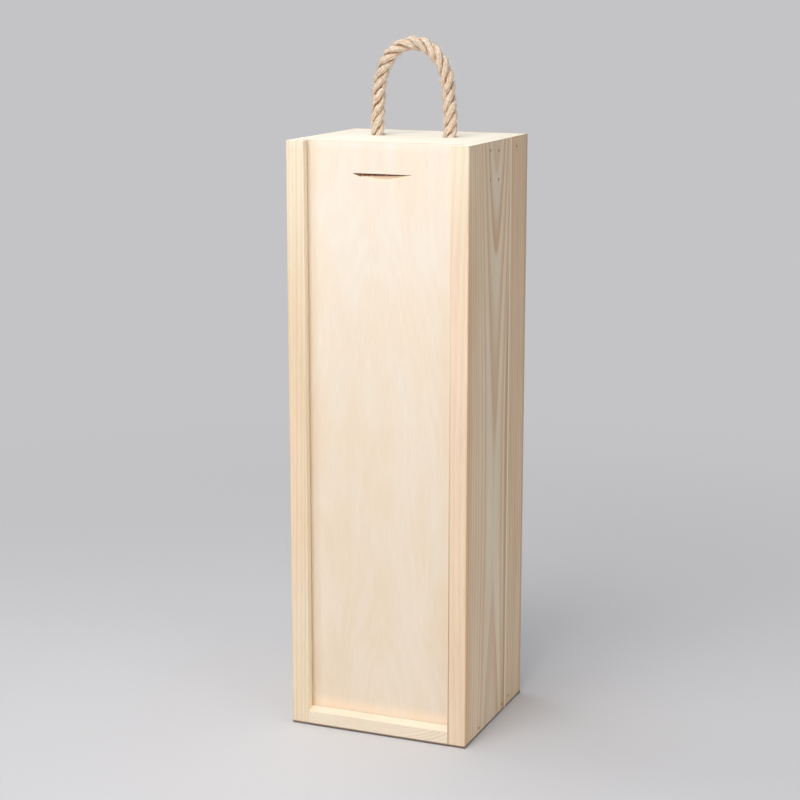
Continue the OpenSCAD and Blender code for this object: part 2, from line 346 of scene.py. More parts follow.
# One board's softwood. pith is a point of the pith line in metres and turn the line's lean;
# rear gives the second stave, where the board is glued up of two, from the seam's y onwards.
def softwood(name, pith, turn=(0, 0, 0), rear=None, seam=None, **look):
    look = {**plainSoftwood, **look}
    material, n, shader = newMaterial(name)
    place = objectPlace(n, pith, turn)
    spot = whereOn(n)
    if rear:
        behind = n.maths("GREATER_THAN", spot[1], seam)
        other = objectPlace(n, rear["pith"], rear.get("turn", turn))
        place = n.add("ShaderNodeMix", {0: behind, 4: place, 5: other}, data_type="VECTOR").outputs[1]
    out = n.add("ShaderNodeGroup", {
        "Vector": place, "Ring Width": look["rings"], "Wander": look["wander"],
        "Uneven": look["uneven"], "Bow": look["bow"], "Seed": look["seed"],
        "First Year": look["firstYear"]}, node_tree=grainGroup).outputs
    late, fibre = out["Latewood"], out["Fibre"]
    drift = n.times(n.smooth(out["Tone"], 0.35, 0.7), look["tone"])
    if rear:
        drift = n.maths("ADD", drift, n.times(behind, rear["tone"]))
    base = n.mix(drift, wood["sapwood"], wood["heart"])
    facing = n.vectors("ABSOLUTE", n.coordinate("Normal"))
    strong = n.times(n.maths("SUBTRACT", 1.0, n.dot(facing, look["quiet"])), look["late"])
    if look["flank"]:
        axis, *limits = look["flank"]
        strong = n.times(strong, n.smooth(spot["xyz".index(axis)], *limits))
    base = n.over(base, wood["latewood"], late, strong)
    base = n.over(base, wood["fleck"], out["Fleck"], 0.25)
    base = n.mix(look["pale"], base, wood["bare"])
    tint = n.mix(n.smooth(out["Tint"], 0.38, 0.62), wood["pink"], wood["olive"])
    base = n.mix(1.0, base, tint, "MULTIPLY")
    if look["cool"]:
        off = n.maths("ABSOLUTE", n.maths("SUBTRACT", spot[1], coolBand["middle"]))
        middle = n.smooth(off, coolBand["edge"], coolBand["full"], 0.0, look["cool"])
        base = n.over(base, wood["cool"], middle, n.maths("SUBTRACT", 1.0, late))
    base = zoned(n, base, look["zones"], spot, facing)
    # painted shade towards the foot, and a painted contact shadow along the foot's arris
    base = shadeTowardsFoot(n, base, look["shadeTowardsFoot"], facing)
    base = n.over(base, wood["endGrain"], n.attribute("endGrain"), endPallor)
    base = streaked(n, base, fibre, 0.93, 1.02)
    if rear:
        # a resinous band ends at the seam's glue line, and a pale line follows it
        off = n.maths("ABSOLUTE", n.maths("SUBTRACT", spot[1], seam))
        band, line = (n.smooth(spot[1], *[seam + place for place in seamMarks[mark]])
                      for mark in ("band", "line"))
        upTo = n.maths("SUBTRACT", 1.0, behind), n.smooth(spot[2], 0.30, 0.20, 0.15, 1.0)
        if "resin" in rear:
            base = n.over(base, wood["resin"], band, *upTo, rear["resin"])
        base = n.over(base, wood["fleck"], n.maths("LESS_THAN", off, seamMarks["glue"]), 0.5)
        if "crest" in rear:
            base = n.over(base, wood["crest"], line, behind, rear["crest"])
    rough = n.maths("MULTIPLY_ADD", late, -0.08, n.smooth(fibre, 0.3, 0.7, 0.72, 0.56))
    height = n.maths("MULTIPLY_ADD", late, 0.6, fibre)
    height = n.maths("MULTIPLY_ADD", out["Fleck"], -0.5, height)
    dress(n, shader, base, rough, height, 0.35, 0.00012, {"Specular IOR Level": 0.35})
    return material


ply = {
    "face": (colour(248, 236, 220), colour(247, 231, 210)),
    "figure": colour(236, 212, 184),
    "core": colour(232, 194, 158),
    "glue": colour(170, 122, 88),
    # painted shade towards the foot
    "footShadeTint": (0.915, 0.875, 0.815, 1.0),
    "edge": colour(226, 212, 200),
    "cut": colour(240, 208, 172),         # the thumb notch's own wood
    # two browns of the painted shadow under the thumb notch's upper edge
    "notchShadow": (colour(96, 50, 22), colour(164, 92, 48)),
}


def plywood(name, front, thickness, seed, footShadeAmount=0.0, notchShadow=None, zones=()):
    material, n, shader = newMaterial(name)
    place = objectPlace(n, (0, front, 0))
    out = n.add("ShaderNodeGroup", {"Vector": place, "Thickness": thickness, "Seed": seed},
                node_tree=veneerGroup).outputs
    base = n.mix(n.smooth(out["Tone"], 0.35, 0.65), *ply["face"])
    base = n.over(base, ply["figure"], out["Figure"], 0.10)
    base = n.over(base, ply["core"], out["Core"], 0.7)
    base = n.over(base, ply["glue"], out["Glue"], 0.7)
    # painted shade towards the foot, and a painted contact shadow along the foot's arris
    base = shadeTowardsFoot(n, base, footShadeAmount, footShadeTint=ply["footShadeTint"])
    base = n.over(base, ply["edge"], n.attribute("endGrain"), 0.7, blend="MULTIPLY")
    # on the lid, these zones are painted shade and painted highlights
    base = zoned(n, base, zones, whereOn(n))
    if notchShadow:
        # painted shadow under the thumb notch's upper edge
        cut = n.attribute("notchCut")
        across, upwards = n.split(place)[0], n.split(place)[2]
        taper = n.maths("MULTIPLY_ADD", across, notchShadow["taper"], notchShadow["foot"])
        rough = n.noise(place, 1.0, 3.0, (0.45, 0.0, 0.0))
        start = n.maths("MULTIPLY_ADD", rough, notchShadow["ragged"], taper)
        deep = n.smooth(upwards, start, n.maths("ADD", start, notchShadow["fade"]))
        base = n.over(base, ply["cut"], cut, 0.35)
        shadowColour = n.mix(n.smooth(rough, 0.35, 0.65), *ply["notchShadow"])
        base = n.over(base, shadowColour, deep, n.smooth(across, *notchShadow["ends"]), cut, 0.93)
    base = streaked(n, base, out["Fibre"], 0.96, 1.015)
    rough = n.smooth(out["Fibre"], 0.3, 0.7, 0.66, 0.52)
    height = n.maths("MULTIPLY_ADD", out["Core"], -0.8, out["Fibre"])
    dress(n, shader, base, rough, height, 0.3, 0.00010, {"Specular IOR Level": 0.35})
    return material


def nailSteel():
    material, n, shader = newMaterial("nail steel")
    place = objectPlace(n, (0, 0, 0))
    blotch = n.noise(place, 0.9, 3.0)
    base = n.mix(n.smooth(blotch, 0.35, 0.65), colour(108, 98, 88), colour(70, 58, 50))
    dress(n, shader, base, n.smooth(blotch, 0.3, 0.7, 0.38, 0.62),
          n.noise(place, 6.0, 3.0), 0.4, 0.00005, {"Metallic": 0.85})
    return material


juteColours = {
    "fibre": (colour(202, 168, 134), colour(255, 248, 233)),
    "yarn": colour(228, 196, 164),
    "patch": colour(242, 206, 178),
    "groove": colour(186, 150, 116),      # painted shade between two yarns
    "deep": colour(160, 118, 78),         # painted shade between two strands
}


# The rope's own coordinates are on its mesh: round a strand in X and Y, along it in Z.
def juteRope():
    material, n, shader = newMaterial("jute rope")
    place = n.attribute("strandPlace", "Vector")
    fine = n.noise(place, 3.4, 3.0, (1.0, 1.0, 0.16), Roughness=0.7)
    yarn = n.noise(place, 0.9, 2.0, (1.0, 1.0, 0.12))
    patch = n.noise(place, 0.15, 2.0)
    spots = n.smooth(n.noise(place, 0.30, 2.0), 0.44, 0.58)
    base = n.mix(n.smooth(fine, 0.36, 0.62), *juteColours["fibre"])
    base = n.over(base, juteColours["yarn"], n.smooth(yarn, 0.42, 0.68), 0.5)
    base = n.over(base, juteColours["patch"], n.smooth(patch, 0.48, 0.7), 0.35)
    # painted shade between the yarns, and in spots between the strands
    base = n.over(base, juteColours["groove"], n.attribute("yarnGroove"), 0.45)
    base = n.over(base, juteColours["deep"], n.attribute("strandDepth"), spots)
    dress(n, shader, base, n.smooth(fine, 0.3, 0.7, 0.9, 0.7), fine, 0.8, 0.0004,
          {"Specular IOR Level": 0.25, "Sheen Weight": 0.15})
    return material


steel = nailSteel()
jute = juteRope()
print("materials for the nails and the rope made")


def finishedMesh(name, thing):
    # the object's mesh as its modifiers leave it
    shown = thing.evaluated_get(bpy.context.evaluated_depsgraph_get())
    mesh = bpy.data.meshes.new_from_object(shown)
    mesh.name = name
    return mesh


# The rope: up through the batten and the top board, over in an arch, down again, and a knot
# under the batten at each end. All in millimetres.
ropeSet = {
    "thickness": 8.5,
    "lay": 23.6,            # one turn of a strand
    "strandRadius": 1.86,
    "strandOffset": 2.14,   # a strand's middle off the rope's middle
    "yarns": 6,
    "yarnDepth": 0.36,
    "yarnLay": -26000.0,    # the yarns lie almost straight along their strand
    "swell": 1.1,           # how unevenly thick a strand is
    "step": 0.6,            # between two rings of the mesh
    "hairs": 1.10,          # per square millimetre
    "hairLength": 3.3,
    "hairRadius": 0.045,
    "y": 7.0,
    "top": 350.0,
    "within": 334.0,        # a point of the line inside the two boards
    "foot": 318.0,          # the batten's underside, where the knots begin
    "holeGap": 0.25,        # between the rope and its holes
    "bare": (-1.5, 0.8),    # without hairs from below the foot to above the top
    "bend": 16.0,           # how far above the top the rope's feet bend as it leans
    "arch": [(-22.5, 0), (-22.8, 10), (-22.2, 21), (-21, 32), (-17.5, 42), (-10.5, 50),
             (-0.5, 53.3), (9.5, 50.5), (16.8, 43), (20.8, 32.5), (22, 21), (22.8, 10), (22.5, 0)],
    "knotMiddle": (22.5, 3.0, 305.5),
    "knotRing": 4.8,        # the knot's path winds twice round a ring
    "knotTube": 3.1,
    "knotGap": 0.3,         # where the path is opened for the rope's two ends
    "leadIn": [(0, 4, 12.4), (-1.2, 6.0, 7.2), (-2.9, 7.8, 1.4)],
    "tail": [(3.0, 8.0, -1.4), (2.4, 8.2, -7.0), (1.2, 7.8, -12.5), (0.4, 7.6, -17.2)],
}


def smoothLine(points, steps):
    line = []
    padded = [points[0] * 2 - points[1], *points, points[-1] * 2 - points[-2]]
    for a, b, c, d in zip(padded, padded[1:], padded[2:], padded[3:]):
        for k in range(steps):
            t = k / steps
            line.append(0.5 * (2 * b + (c - a) * t + (2 * a - 5 * b + 4 * c - d) * t * t
                               + (3 * b - a - 3 * c + d) * t ** 3))
    return line + [points[-1]]


def knotLine(size, side):
    ring, tube, gap = size["knotRing"], size["knotTube"], size["knotGap"]
    turns = 40
    loop = []
    for i in range(turns + 1):
        t = 2 * math.pi - gap - (2 * math.pi - 2 * gap) * i / turns
        reach = ring + tube * math.cos(3 * t)
        loop.append((tube * math.sin(3 * t), reach * math.cos(2 * t), reach * math.sin(2 * t)))
    x, y, z = size["knotMiddle"]
    return [Vector((side * (x + dx), y + dy, z + dz))
            for dx, dy, dz in size["leadIn"] + loop + size["tail"]]


def ropeLine(size):
    x = size["knotMiddle"][0]
    arch = [Vector((px, size["y"], size["top"] + pz)) for px, pz in size["arch"]]
    legs = [[Vector((side * x, size["y"], size[height])) for height in ("foot", "within")]
            for side in (-1, 1)]
    return smoothLine([*reversed(knotLine(size, -1)), *legs[0], *arch, *reversed(legs[1]),
                       *knotLine(size, 1)], 4)


def finishTree(n, parts, material, rounded=False):
    # joins the parts into one real mesh of one material
    together = n.add("GeometryNodeJoinGeometry")
    for part in parts:
        n.link(part, together.inputs[0])
    whole = n.geometry("RealizeInstances", {"Geometry": together.outputs[0]})
    if rounded:
        whole = n.geometry("SetShadeSmooth", {"Geometry": whole})
    return n.giveOut("Geometry", {"Geometry": n.geometry("SetMaterial", {
        "Geometry": whole, "Material": material})})


def ropeTree():
    floats = ("Lay", "Strand Radius", "Strand Offset", "Yarns", "Yarn Depth", "Yarn Lay", "Swell",
              "Step", "Hairs", "Hair Length", "Hair Radius", "Bare From", "Bare To")
    n, given = newGroup("Laid rope", "GeometryNodeTree", {
        "Geometry": "Geometry", **dict.fromkeys(floats, 0.0), "Material": "Material"})
    turn = 2 * math.pi
    line = n.geometry("ResampleCurve", {"Curve": given["Geometry"], "Length": given["Step"]},
                      mode="LENGTH")
    strands = n.add("GeometryNodeDuplicateElements", {"Geometry": line, "Amount": 3},
                    domain="SPLINE").outputs
    index = strands["Duplicate Index"]
    along = n.add("GeometryNodeSplineParameter").outputs["Length"]
    phase = n.maths("MULTIPLY_ADD", index, 1 / 3, n.maths("DIVIDE", along, given["Lay"]))
    phase = n.times(phase, turn)
    normal, tangent = n.geometry("InputNormal"), n.geometry("InputTangent")
    side = n.vectors("CROSS_PRODUCT", tangent, normal)
    out = n.vectors("ADD", n.scaled(normal, n.maths("COSINE", phase)),
                    n.scaled(side, n.maths("SINE", phase)))
    # the place along its strand is kept in millimetres, and each strand begins elsewhere
    number = n.maths("MULTIPLY_ADD", index, 500.0, n.times(along, 1000.0))
    shape = n.store(strands["Geometry"], "outward", out, "FLOAT_VECTOR")
    shape = n.store(shape, "alongStrand", number)
    shape = n.geometry("SetPosition", {
        "Geometry": shape, "Offset": n.scaled(out, given["Strand Offset"])})
    circle = n.geometry("CurvePrimitiveCircle", {"Resolution": 24, "Radius": given["Strand Radius"]})
    circle = n.store(circle, "roundStrand", n.add("GeometryNodeSplineParameter").outputs["Factor"])
    tube = n.geometry("CurveToMesh", {"Curve": shape, "Profile Curve": circle, "Fill Caps": True})

    def named(name, kind="FLOAT"):
        return n.geometry("InputNamedAttribute", {"Name": name}, data_type=kind)

    place = named("alongStrand")
    yarnTurn = n.maths("ADD", n.times(named("roundStrand"), turn),
                       n.maths("DIVIDE", n.times(place, turn), given["Yarn Lay"]))
    ridge = n.maths("ABSOLUTE", n.maths("SINE", n.times(yarnTurn, given["Yarns"], 0.5)))
    ridge = n.maths("SUBTRACT", ridge, 0.75)
    face = n.geometry("InputNormal")
    swell = n.noiseAlong(n.times(place, 0.22))
    swell = n.times(n.maths("SUBTRACT", swell, 0.5), given["Swell"])
    lift = n.scaled(face, n.maths("MULTIPLY_ADD", ridge, given["Yarn Depth"], swell))
    # deep is 1 on the side of a strand that faces the rope's middle
    deep = n.smooth(n.dot(face, named("outward", "FLOAT_VECTOR")), 0.45, -0.10)
    # the strand's own coordinates for the material, in millimetres
    reach = 2.1
    own = n.joined(n.times(n.maths("COSINE", yarnTurn), reach),
                   n.times(n.maths("SINE", yarnTurn), reach), place)
    tube = n.store(tube, "yarnGroove", n.smooth(ridge, -0.15, -0.65))
    tube = n.store(tube, "strandDepth", deep)
    tube = n.store(tube, "strandPlace", own, "FLOAT_VECTOR")
    tube = n.geometry("SetPosition", {"Geometry": tube, "Offset": lift})

    position = n.geometry("InputPosition")
    height = n.split(position)[2]
    clear = n.maths("ADD", n.maths("GREATER_THAN", height, given["Bare To"]),
                    n.maths("LESS_THAN", height, given["Bare From"]))
    outside = n.times(clear, n.maths("LESS_THAN", named("strandDepth"), 0.2))
    spots = n.add("GeometryNodeDistributePointsOnFaces", {
        "Mesh": tube, "Selection": outside, "Density": given["Hairs"], "Seed": 7}).outputs
    hair = n.geometry("CurveQuadraticBezier", {
        "Resolution": 5, "Start": (0, 0, 0), "Middle": (0.3, 0, 0.25), "End": (1.0, 0.12, 0.35)})
    hair = n.geometry("SetPosition", {
        "Geometry": hair, "Position": n.scaled(position, given["Hair Length"])})
    thin = n.geometry("CurvePrimitiveCircle", {"Resolution": 3, "Radius": given["Hair Radius"]})
    hair = n.geometry("CurveToMesh", {"Curve": hair, "Profile Curve": thin, "Fill Caps": True})
    spin = n.add("FunctionNodeRandomValue", {
        0: (-0.5, -0.5, 0), 1: (0.5, 0.5, turn), "Seed": 3}, data_type="FLOAT_VECTOR").outputs[0]
    growth = n.add("FunctionNodeRandomValue", {2: 0.25, 3: 1.0, "Seed": 5},
                   data_type="FLOAT").outputs[1]
    lean = n.add("FunctionNodeRotateRotation", {
        "Rotation": spots["Rotation"], "Rotate By": spin}, rotation_space="LOCAL").outputs[0]
    fuzz = n.geometry("InstanceOnPoints", {
        "Points": spots["Points"], "Instance": hair, "Rotation": lean, "Scale": growth})
    return finishTree(n, (fuzz, tube), given["Material"], rounded=True)


def runTree(name, data, tree, values):
    holder = addObject(name + "Maker", data)
    modifier = holder.modifiers.new(name, "NODES")
    modifier.node_group = tree
    for item in tree.interface.items_tree:
        if item.in_out == "INPUT" and item.name in values:
            modifier[item.identifier] = values[item.name]
    mesh = finishedMesh(name, holder)
    bpy.data.objects.remove(holder)
    return mesh


def cutAt(mesh, name, point, normal):
    # what lies on the normal's side of the plane is taken off, and the cut is closed
    shape = bmesh.new()
    shape.from_mesh(mesh)
    everything = shape.verts[:] + shape.edges[:] + shape.faces[:]
    cut = bmesh.ops.bisect_plane(shape, geom=everything, dist=1e-7, plane_co=point,
                                 plane_no=normal, clear_outer=True)
    rim = [e for e in cut["geom_cut"] if isinstance(e, bmesh.types.BMEdge)]
    bmesh.ops.holes_fill(shape, edges=rim, sides=0)
    made = mesh.copy()
    made.name = name
    shape.to_mesh(made)
    shape.free()
    return made


def dropStrays(mesh, size):
    # hairs of the knots that reach above the batten's underside
    shape = bmesh.new()
    shape.from_mesh(mesh)
    x, y = size["knotMiddle"][0] * mm, size["y"] * mm
    limit = (size["foot"] + 15) * mm
    reach = 0.55 * size["thickness"] * mm    # a little outside the hole
    stray = [v for v in shape.verts
             if v.co.z < limit and math.hypot(abs(v.co.x) - x, v.co.y - y) > reach]
    bmesh.ops.delete(shape, geom=stray, context="VERTS")
    shape.to_mesh(mesh)
    shape.free()


def makeRope(size):
    line = ropeLine(size)
    curve = bpy.data.curves.new("ropeLine", "CURVE")
    curve.dimensions = "3D"
    spline = curve.splines.new("POLY")
    spline.points.add(len(line) - 1)
    for point, place in zip(spline.points, line):
        point.co = (*(place * mm), 1.0)
    foot, top = size["foot"] * mm, size["top"] * mm
    inMillimetres = {
        "Lay": "lay", "Strand Radius": "strandRadius", "Strand Offset": "strandOffset",
        "Yarn Depth": "yarnDepth", "Swell": "swell", "Step": "step",
        "Hair Length": "hairLength", "Hair Radius": "hairRadius",
    }
    whole = runTree("rope", curve, ropeTree(), {
        **{label: size[key] * mm for label, key in inMillimetres.items()},
        "Yarns": float(size["yarns"]), "Yarn Lay": size["yarnLay"],
        "Hairs": size["hairs"] / mm ** 2, "Bare From": foot + size["bare"][0] * mm,
        "Bare To": top + size["bare"][1] * mm, "Material": jute})
    handle = addObject("rope", cutAt(whole, "rope", (0, 0, foot), (0, 0, -1)))
    dropStrays(handle.data, size)
    ends = cutAt(whole, "ends", (0, 0, foot), (0, 0, 1))
    knots = {side: addObject(f"knot_{side}", cutAt(ends, f"knot_{side}", (0, 0, 0), away))
             for side, away in (("left", (1, 0, 0)), ("right", (-1, 0, 0)))}
    whole = sum((b - a).length for a, b in zip(line, line[1:])) * mm
    for side, knot in knots.items():
        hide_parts(f"rope_end_{side}")
        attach(knot, "box")
    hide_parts("rope_loop")
    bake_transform(handle)


makeRope(ropeSet)
print("rope and knots made")


# The joinery, in millimetres, as the frame's boards have it.
boxSet = {
    "halfWidth": 55.5, "halfInside": 44.5, "front": -50.0, "edge": 46.0, "back": 50.0,
    "height": 350.0, "board": 11.0, "battenTop": 339.0, "battenFoot": 318.0,
    "battenFront": -22.0, "battenRear": 20.0,
    "grooveFront": -44.6, "grooveRear": -40.0, "grooveReach": 49.5, "grooveFloor": 6.0,
    "lipFoot": 9.1,         # the bevelled lip's height at its front edge
    "outerArris": 0.9, "uprightArris": 1.0, "footArris": 1.4, "innerArris": 0.16,
}
close = 0.01                # nearer than this, two places count as the same
nailSet = {
    "sideLength": 25.0, "backLength": 18.0, "shank": 1.4, "head": 2.2, "headHeight": 0.8,
    "sunk": 0.4, "point": 2.0, "gap": 0.03,
}
lidSet = {
    "halfWidth": 49.2, "front": -44.3, "rear": -40.3, "foot": 6.3, "top": 350.0,
    "notchWidth": 36.5, "notchDeep": 2.5, "notchHigh": 4.0, "notchTop": 332.4, "notchX": 1.4,
}

# Each row's nails: where the middle of the head meets the face, and the way into the wood.
sideRows = {
    "top": [(-15, 345.0), (-1, 343.8), (30, 344.0)],
    "batten": [(-15, 328.8), (-1, 327.5)],
    "bottom": [(-26, 4.3), (15, 4.7), (27, 5.9)],
}
nailRows = {
    f"nails_{row}_{name}": (nailSet["sideLength"], Vector((-side, 0, 0)), [
        Vector((side * boxSet["halfWidth"], y, z)) for y, z in places])
    for row, places in sideRows.items() for name, side in (("left", -1), ("right", 1))
}
# the back's: how far off the middle they are, and their heights
backRows = {
    "long": (50.0, [20 + 310 * i / 3 for i in range(4)]),
    "short": (18.0, [5.5, 344.5]),
}
for row, (x, heights) in backRows.items():
    nailRows[f"nails_back_{row}"] = (nailSet["backLength"], Vector((0, -1, 0)), [
        Vector((side * x, boxSet["back"], z)) for side in (-1, 1) for z in heights])


def turned(shape, outline, place, away, sides=32):
    # a closed turned body: outline is (radius, depth) from its start, away the axis it runs along
    frameTurn = away.to_track_quat("Z", "Y").to_matrix()
    rings = []
    for radius, depth in outline:
        rings.append([shape.verts.new(place + frameTurn @ Vector((
            radius * math.cos(2 * math.pi * k / sides), radius * math.sin(2 * math.pi * k / sides),
            depth))) for k in range(sides)])
    shape.faces.new(reversed(rings[0]))
    shape.faces.new(rings[-1])
    for a, b in zip(rings, rings[1:]):
        for k in range(sides):
            shape.faces.new((a[k], a[(k + 1) % sides], b[(k + 1) % sides], b[k]))


def carved(piece, fill):
    # cuts what fill puts into a bmesh out of the piece
    shape = bmesh.new()
    fill(shape)
    tool = addObject("tool", bpy.data.meshes.new("tool"))
    shape.to_mesh(tool.data)
    shape.free()
    cut = piece.modifiers.new("cut", "BOOLEAN")
    cut.operation, cut.solver, cut.object = "DIFFERENCE", "EXACT", tool
    mesh = finishedMesh(piece.name, piece)
    piece.modifiers.clear()
    piece.data = mesh
    bpy.data.objects.remove(tool)


def softened(shape, edges, width, segments):
    bmesh.ops.bevel(shape, geom=edges, offset=width, segments=segments, profile=0.5,
                    affect="EDGES", clamp_overlap=True)


# A board whose cross-section is outline, run along an axis from low to high.
def board(name, outline, axis, low, high, outer, crisp=1.0):
    order = {"X": lambda a, b, run: (run, a, b), "Z": lambda a, b, run: (a, b, run)}[axis]
    shape = bmesh.new()
    near = [shape.verts.new(order(a, b, low)) for a, b in outline]
    far = [shape.verts.new(order(a, b, high)) for a, b in outline]
    shape.faces.new(near)
    shape.faces.new(far)
    for i in range(len(outline)):
        k = (i + 1) % len(outline)
        shape.faces.new((near[i], near[k], far[k], far[i]))
    bmesh.ops.recalc_face_normals(shape, faces=shape.faces)
    for width, belongs in (
            (boxSet["footArris"], lambda low, high: high < close),
            (boxSet["uprightArris"], lambda low, high: high - low > boxSet["board"]),
            (boxSet["outerArris"], lambda low, high: low > boxSet["board"])):
        shown = [e for e in shape.edges if outer((e.verts[0].co + e.verts[1].co) / 2)
                 and belongs(*sorted(v.co.z for v in e.verts)) and e.calc_face_angle(0) > 1.0]
        if shown:
            softened(shape, shown, width * crisp, 4)
    sharp = [e for e in shape.edges if e.calc_face_angle(0) > 1.0]
    softened(shape, sharp, boxSet["innerArris"], 2)
    mesh = bpy.data.meshes.new(name)
    shape.to_mesh(mesh)
    shape.free()
    return addObject(name, mesh)


def done(piece, material, body, nodes, grainAxis=None):
    # into metres, smooth where it is round, with the ends of the grain marked
    piece.data.transform(Matrix.Scale(mm, 4))
    mesh = piece.data
    mesh.materials.clear()
    mesh.materials.append(material)
    if grainAxis is not None:
        ends = mesh.attributes.new("endGrain", "FLOAT", "FACE")
        ends.data.foreach_set("value", [
            1.0 if abs(face.normal[grainAxis]) > 0.8 else 0.0 for face in mesh.polygons])
    mesh.polygons.foreach_set("use_smooth", [True] * len(mesh.polygons))
    mesh.set_sharp_from_angle(angle=math.radians(32))
    weighted = piece.modifiers.new("weighted", "WEIGHTED_NORMAL")
    weighted.keep_sharp = True
    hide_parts(*nodes)
    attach(piece, body)
    return piece


def ropeHoles(shape, size=ropeSet):
    below, above = 2.0, 6.0     # how far the cutter stands out of the boards
    radius = size["thickness"] / 2 + size["holeGap"]
    length = below + size["top"] - size["foot"] + above
    for side in (-1, 1):
        place = Vector((side * size["knotMiddle"][0], size["y"], size["foot"] - below))
        turned(shape, [(radius, 0), (radius, length)], place, Vector((0, 0, 1)), 64)


def nailsIn(shape, *rows, size=nailSet):
    head, shank = size["head"] / 2 + size["gap"], size["shank"] / 2 + size["gap"]
    shoulder = size["sunk"] + size["headHeight"]
    for length, away, places in (nailRows[row] for row in rows):
        for place in places:
            turned(shape, [(head, -1.0), (head, shoulder), (shank, shoulder), (shank, length)],
                   place, away, 24)


def isOuter(point, b=boxSet):
    onSide = abs(abs(point.x) - b["halfWidth"]) < close
    onFront = abs(point.y - b["front"]) < close
    onEnd = point.z < close or point.z > b["height"] - close
    onBack = abs(point.y - b["back"]) < close
    return onSide + onFront + onEnd + onBack >= 2


def rectangle(left, right, low, high):
    return [(left, low), (right, low), (right, high), (left, high)]


def makeBoards(b):
    half, inside = b["halfWidth"], b["halfInside"]
    front, edge, back = b["front"], b["edge"], b["back"]
    for name, side in (("left", -1), ("right", 1)):
        outline = [(half, front), (half, edge), (inside, edge), (inside, b["grooveRear"]),
                   (b["grooveReach"], b["grooveRear"]), (b["grooveReach"], b["grooveFront"]),
                   (inside, b["grooveFront"]), (inside, front)]
        piece = board(f"side_board_{name}", [(side * x, y) for x, y in outline], "Z", 0,
                      b["height"], isOuter)
        rows = [f"nails_{row}_{name}" for row in sideRows] + ["nails_back_long"]
        carved(piece, lambda shape: nailsIn(shape, *rows))
        material = softwood(f"softwood {name} side", **sideLooks[name])
        done(piece, material, "box", [f"side_{name}"], 2)

    # the boards between the sides: piece, node, cross-section, look, nails, roped or not
    top = rectangle(b["grooveRear"], edge, b["battenTop"], b["height"])
    bottom = [(front, 0), (edge, 0), (edge, b["board"]), (b["grooveRear"], b["board"]),
              (b["grooveRear"], b["grooveFloor"]), (b["grooveFront"], b["grooveFloor"]),
              (b["grooveFront"], b["board"]), (front, b["lipFoot"])]
    batten = rectangle(b["battenFront"], b["battenRear"], b["battenFoot"], b["battenTop"])
    for name, piece, node, outline, look, more, roped in (
            ("top", "top_panel", "top_board", top, topLook, ["nails_back_short"], True),
            ("bottom", "bottom_panel", "bottom_board", bottom, bottomLook, ["nails_back_short"],
             False),
            ("batten", "batten", "handle_batten", batten, battenLook, [], True)):
        piece = board(piece, outline, "X", -inside, inside,
                      lambda point: name == "bottom" and point.z < close and point.y < 0)
        rows = [f"nails_{name}_left", f"nails_{name}_right", *more]
        carved(piece, lambda shape: (roped and ropeHoles(shape), nailsIn(shape, *rows)))
        done(piece, softwood(f"softwood {name}", **look), "box", [node], 0)

    panel = board("rear_panel", rectangle(-half, half, edge, back), "Z", 0, b["height"], isOuter, 0.4)
    carved(panel, lambda shape: nailsIn(shape, "nails_back_long", "nails_back_short"))
    done(panel, plywood("plywood back", edge * mm, 4.0, 3.0), "box", ["back_panel"], 0)


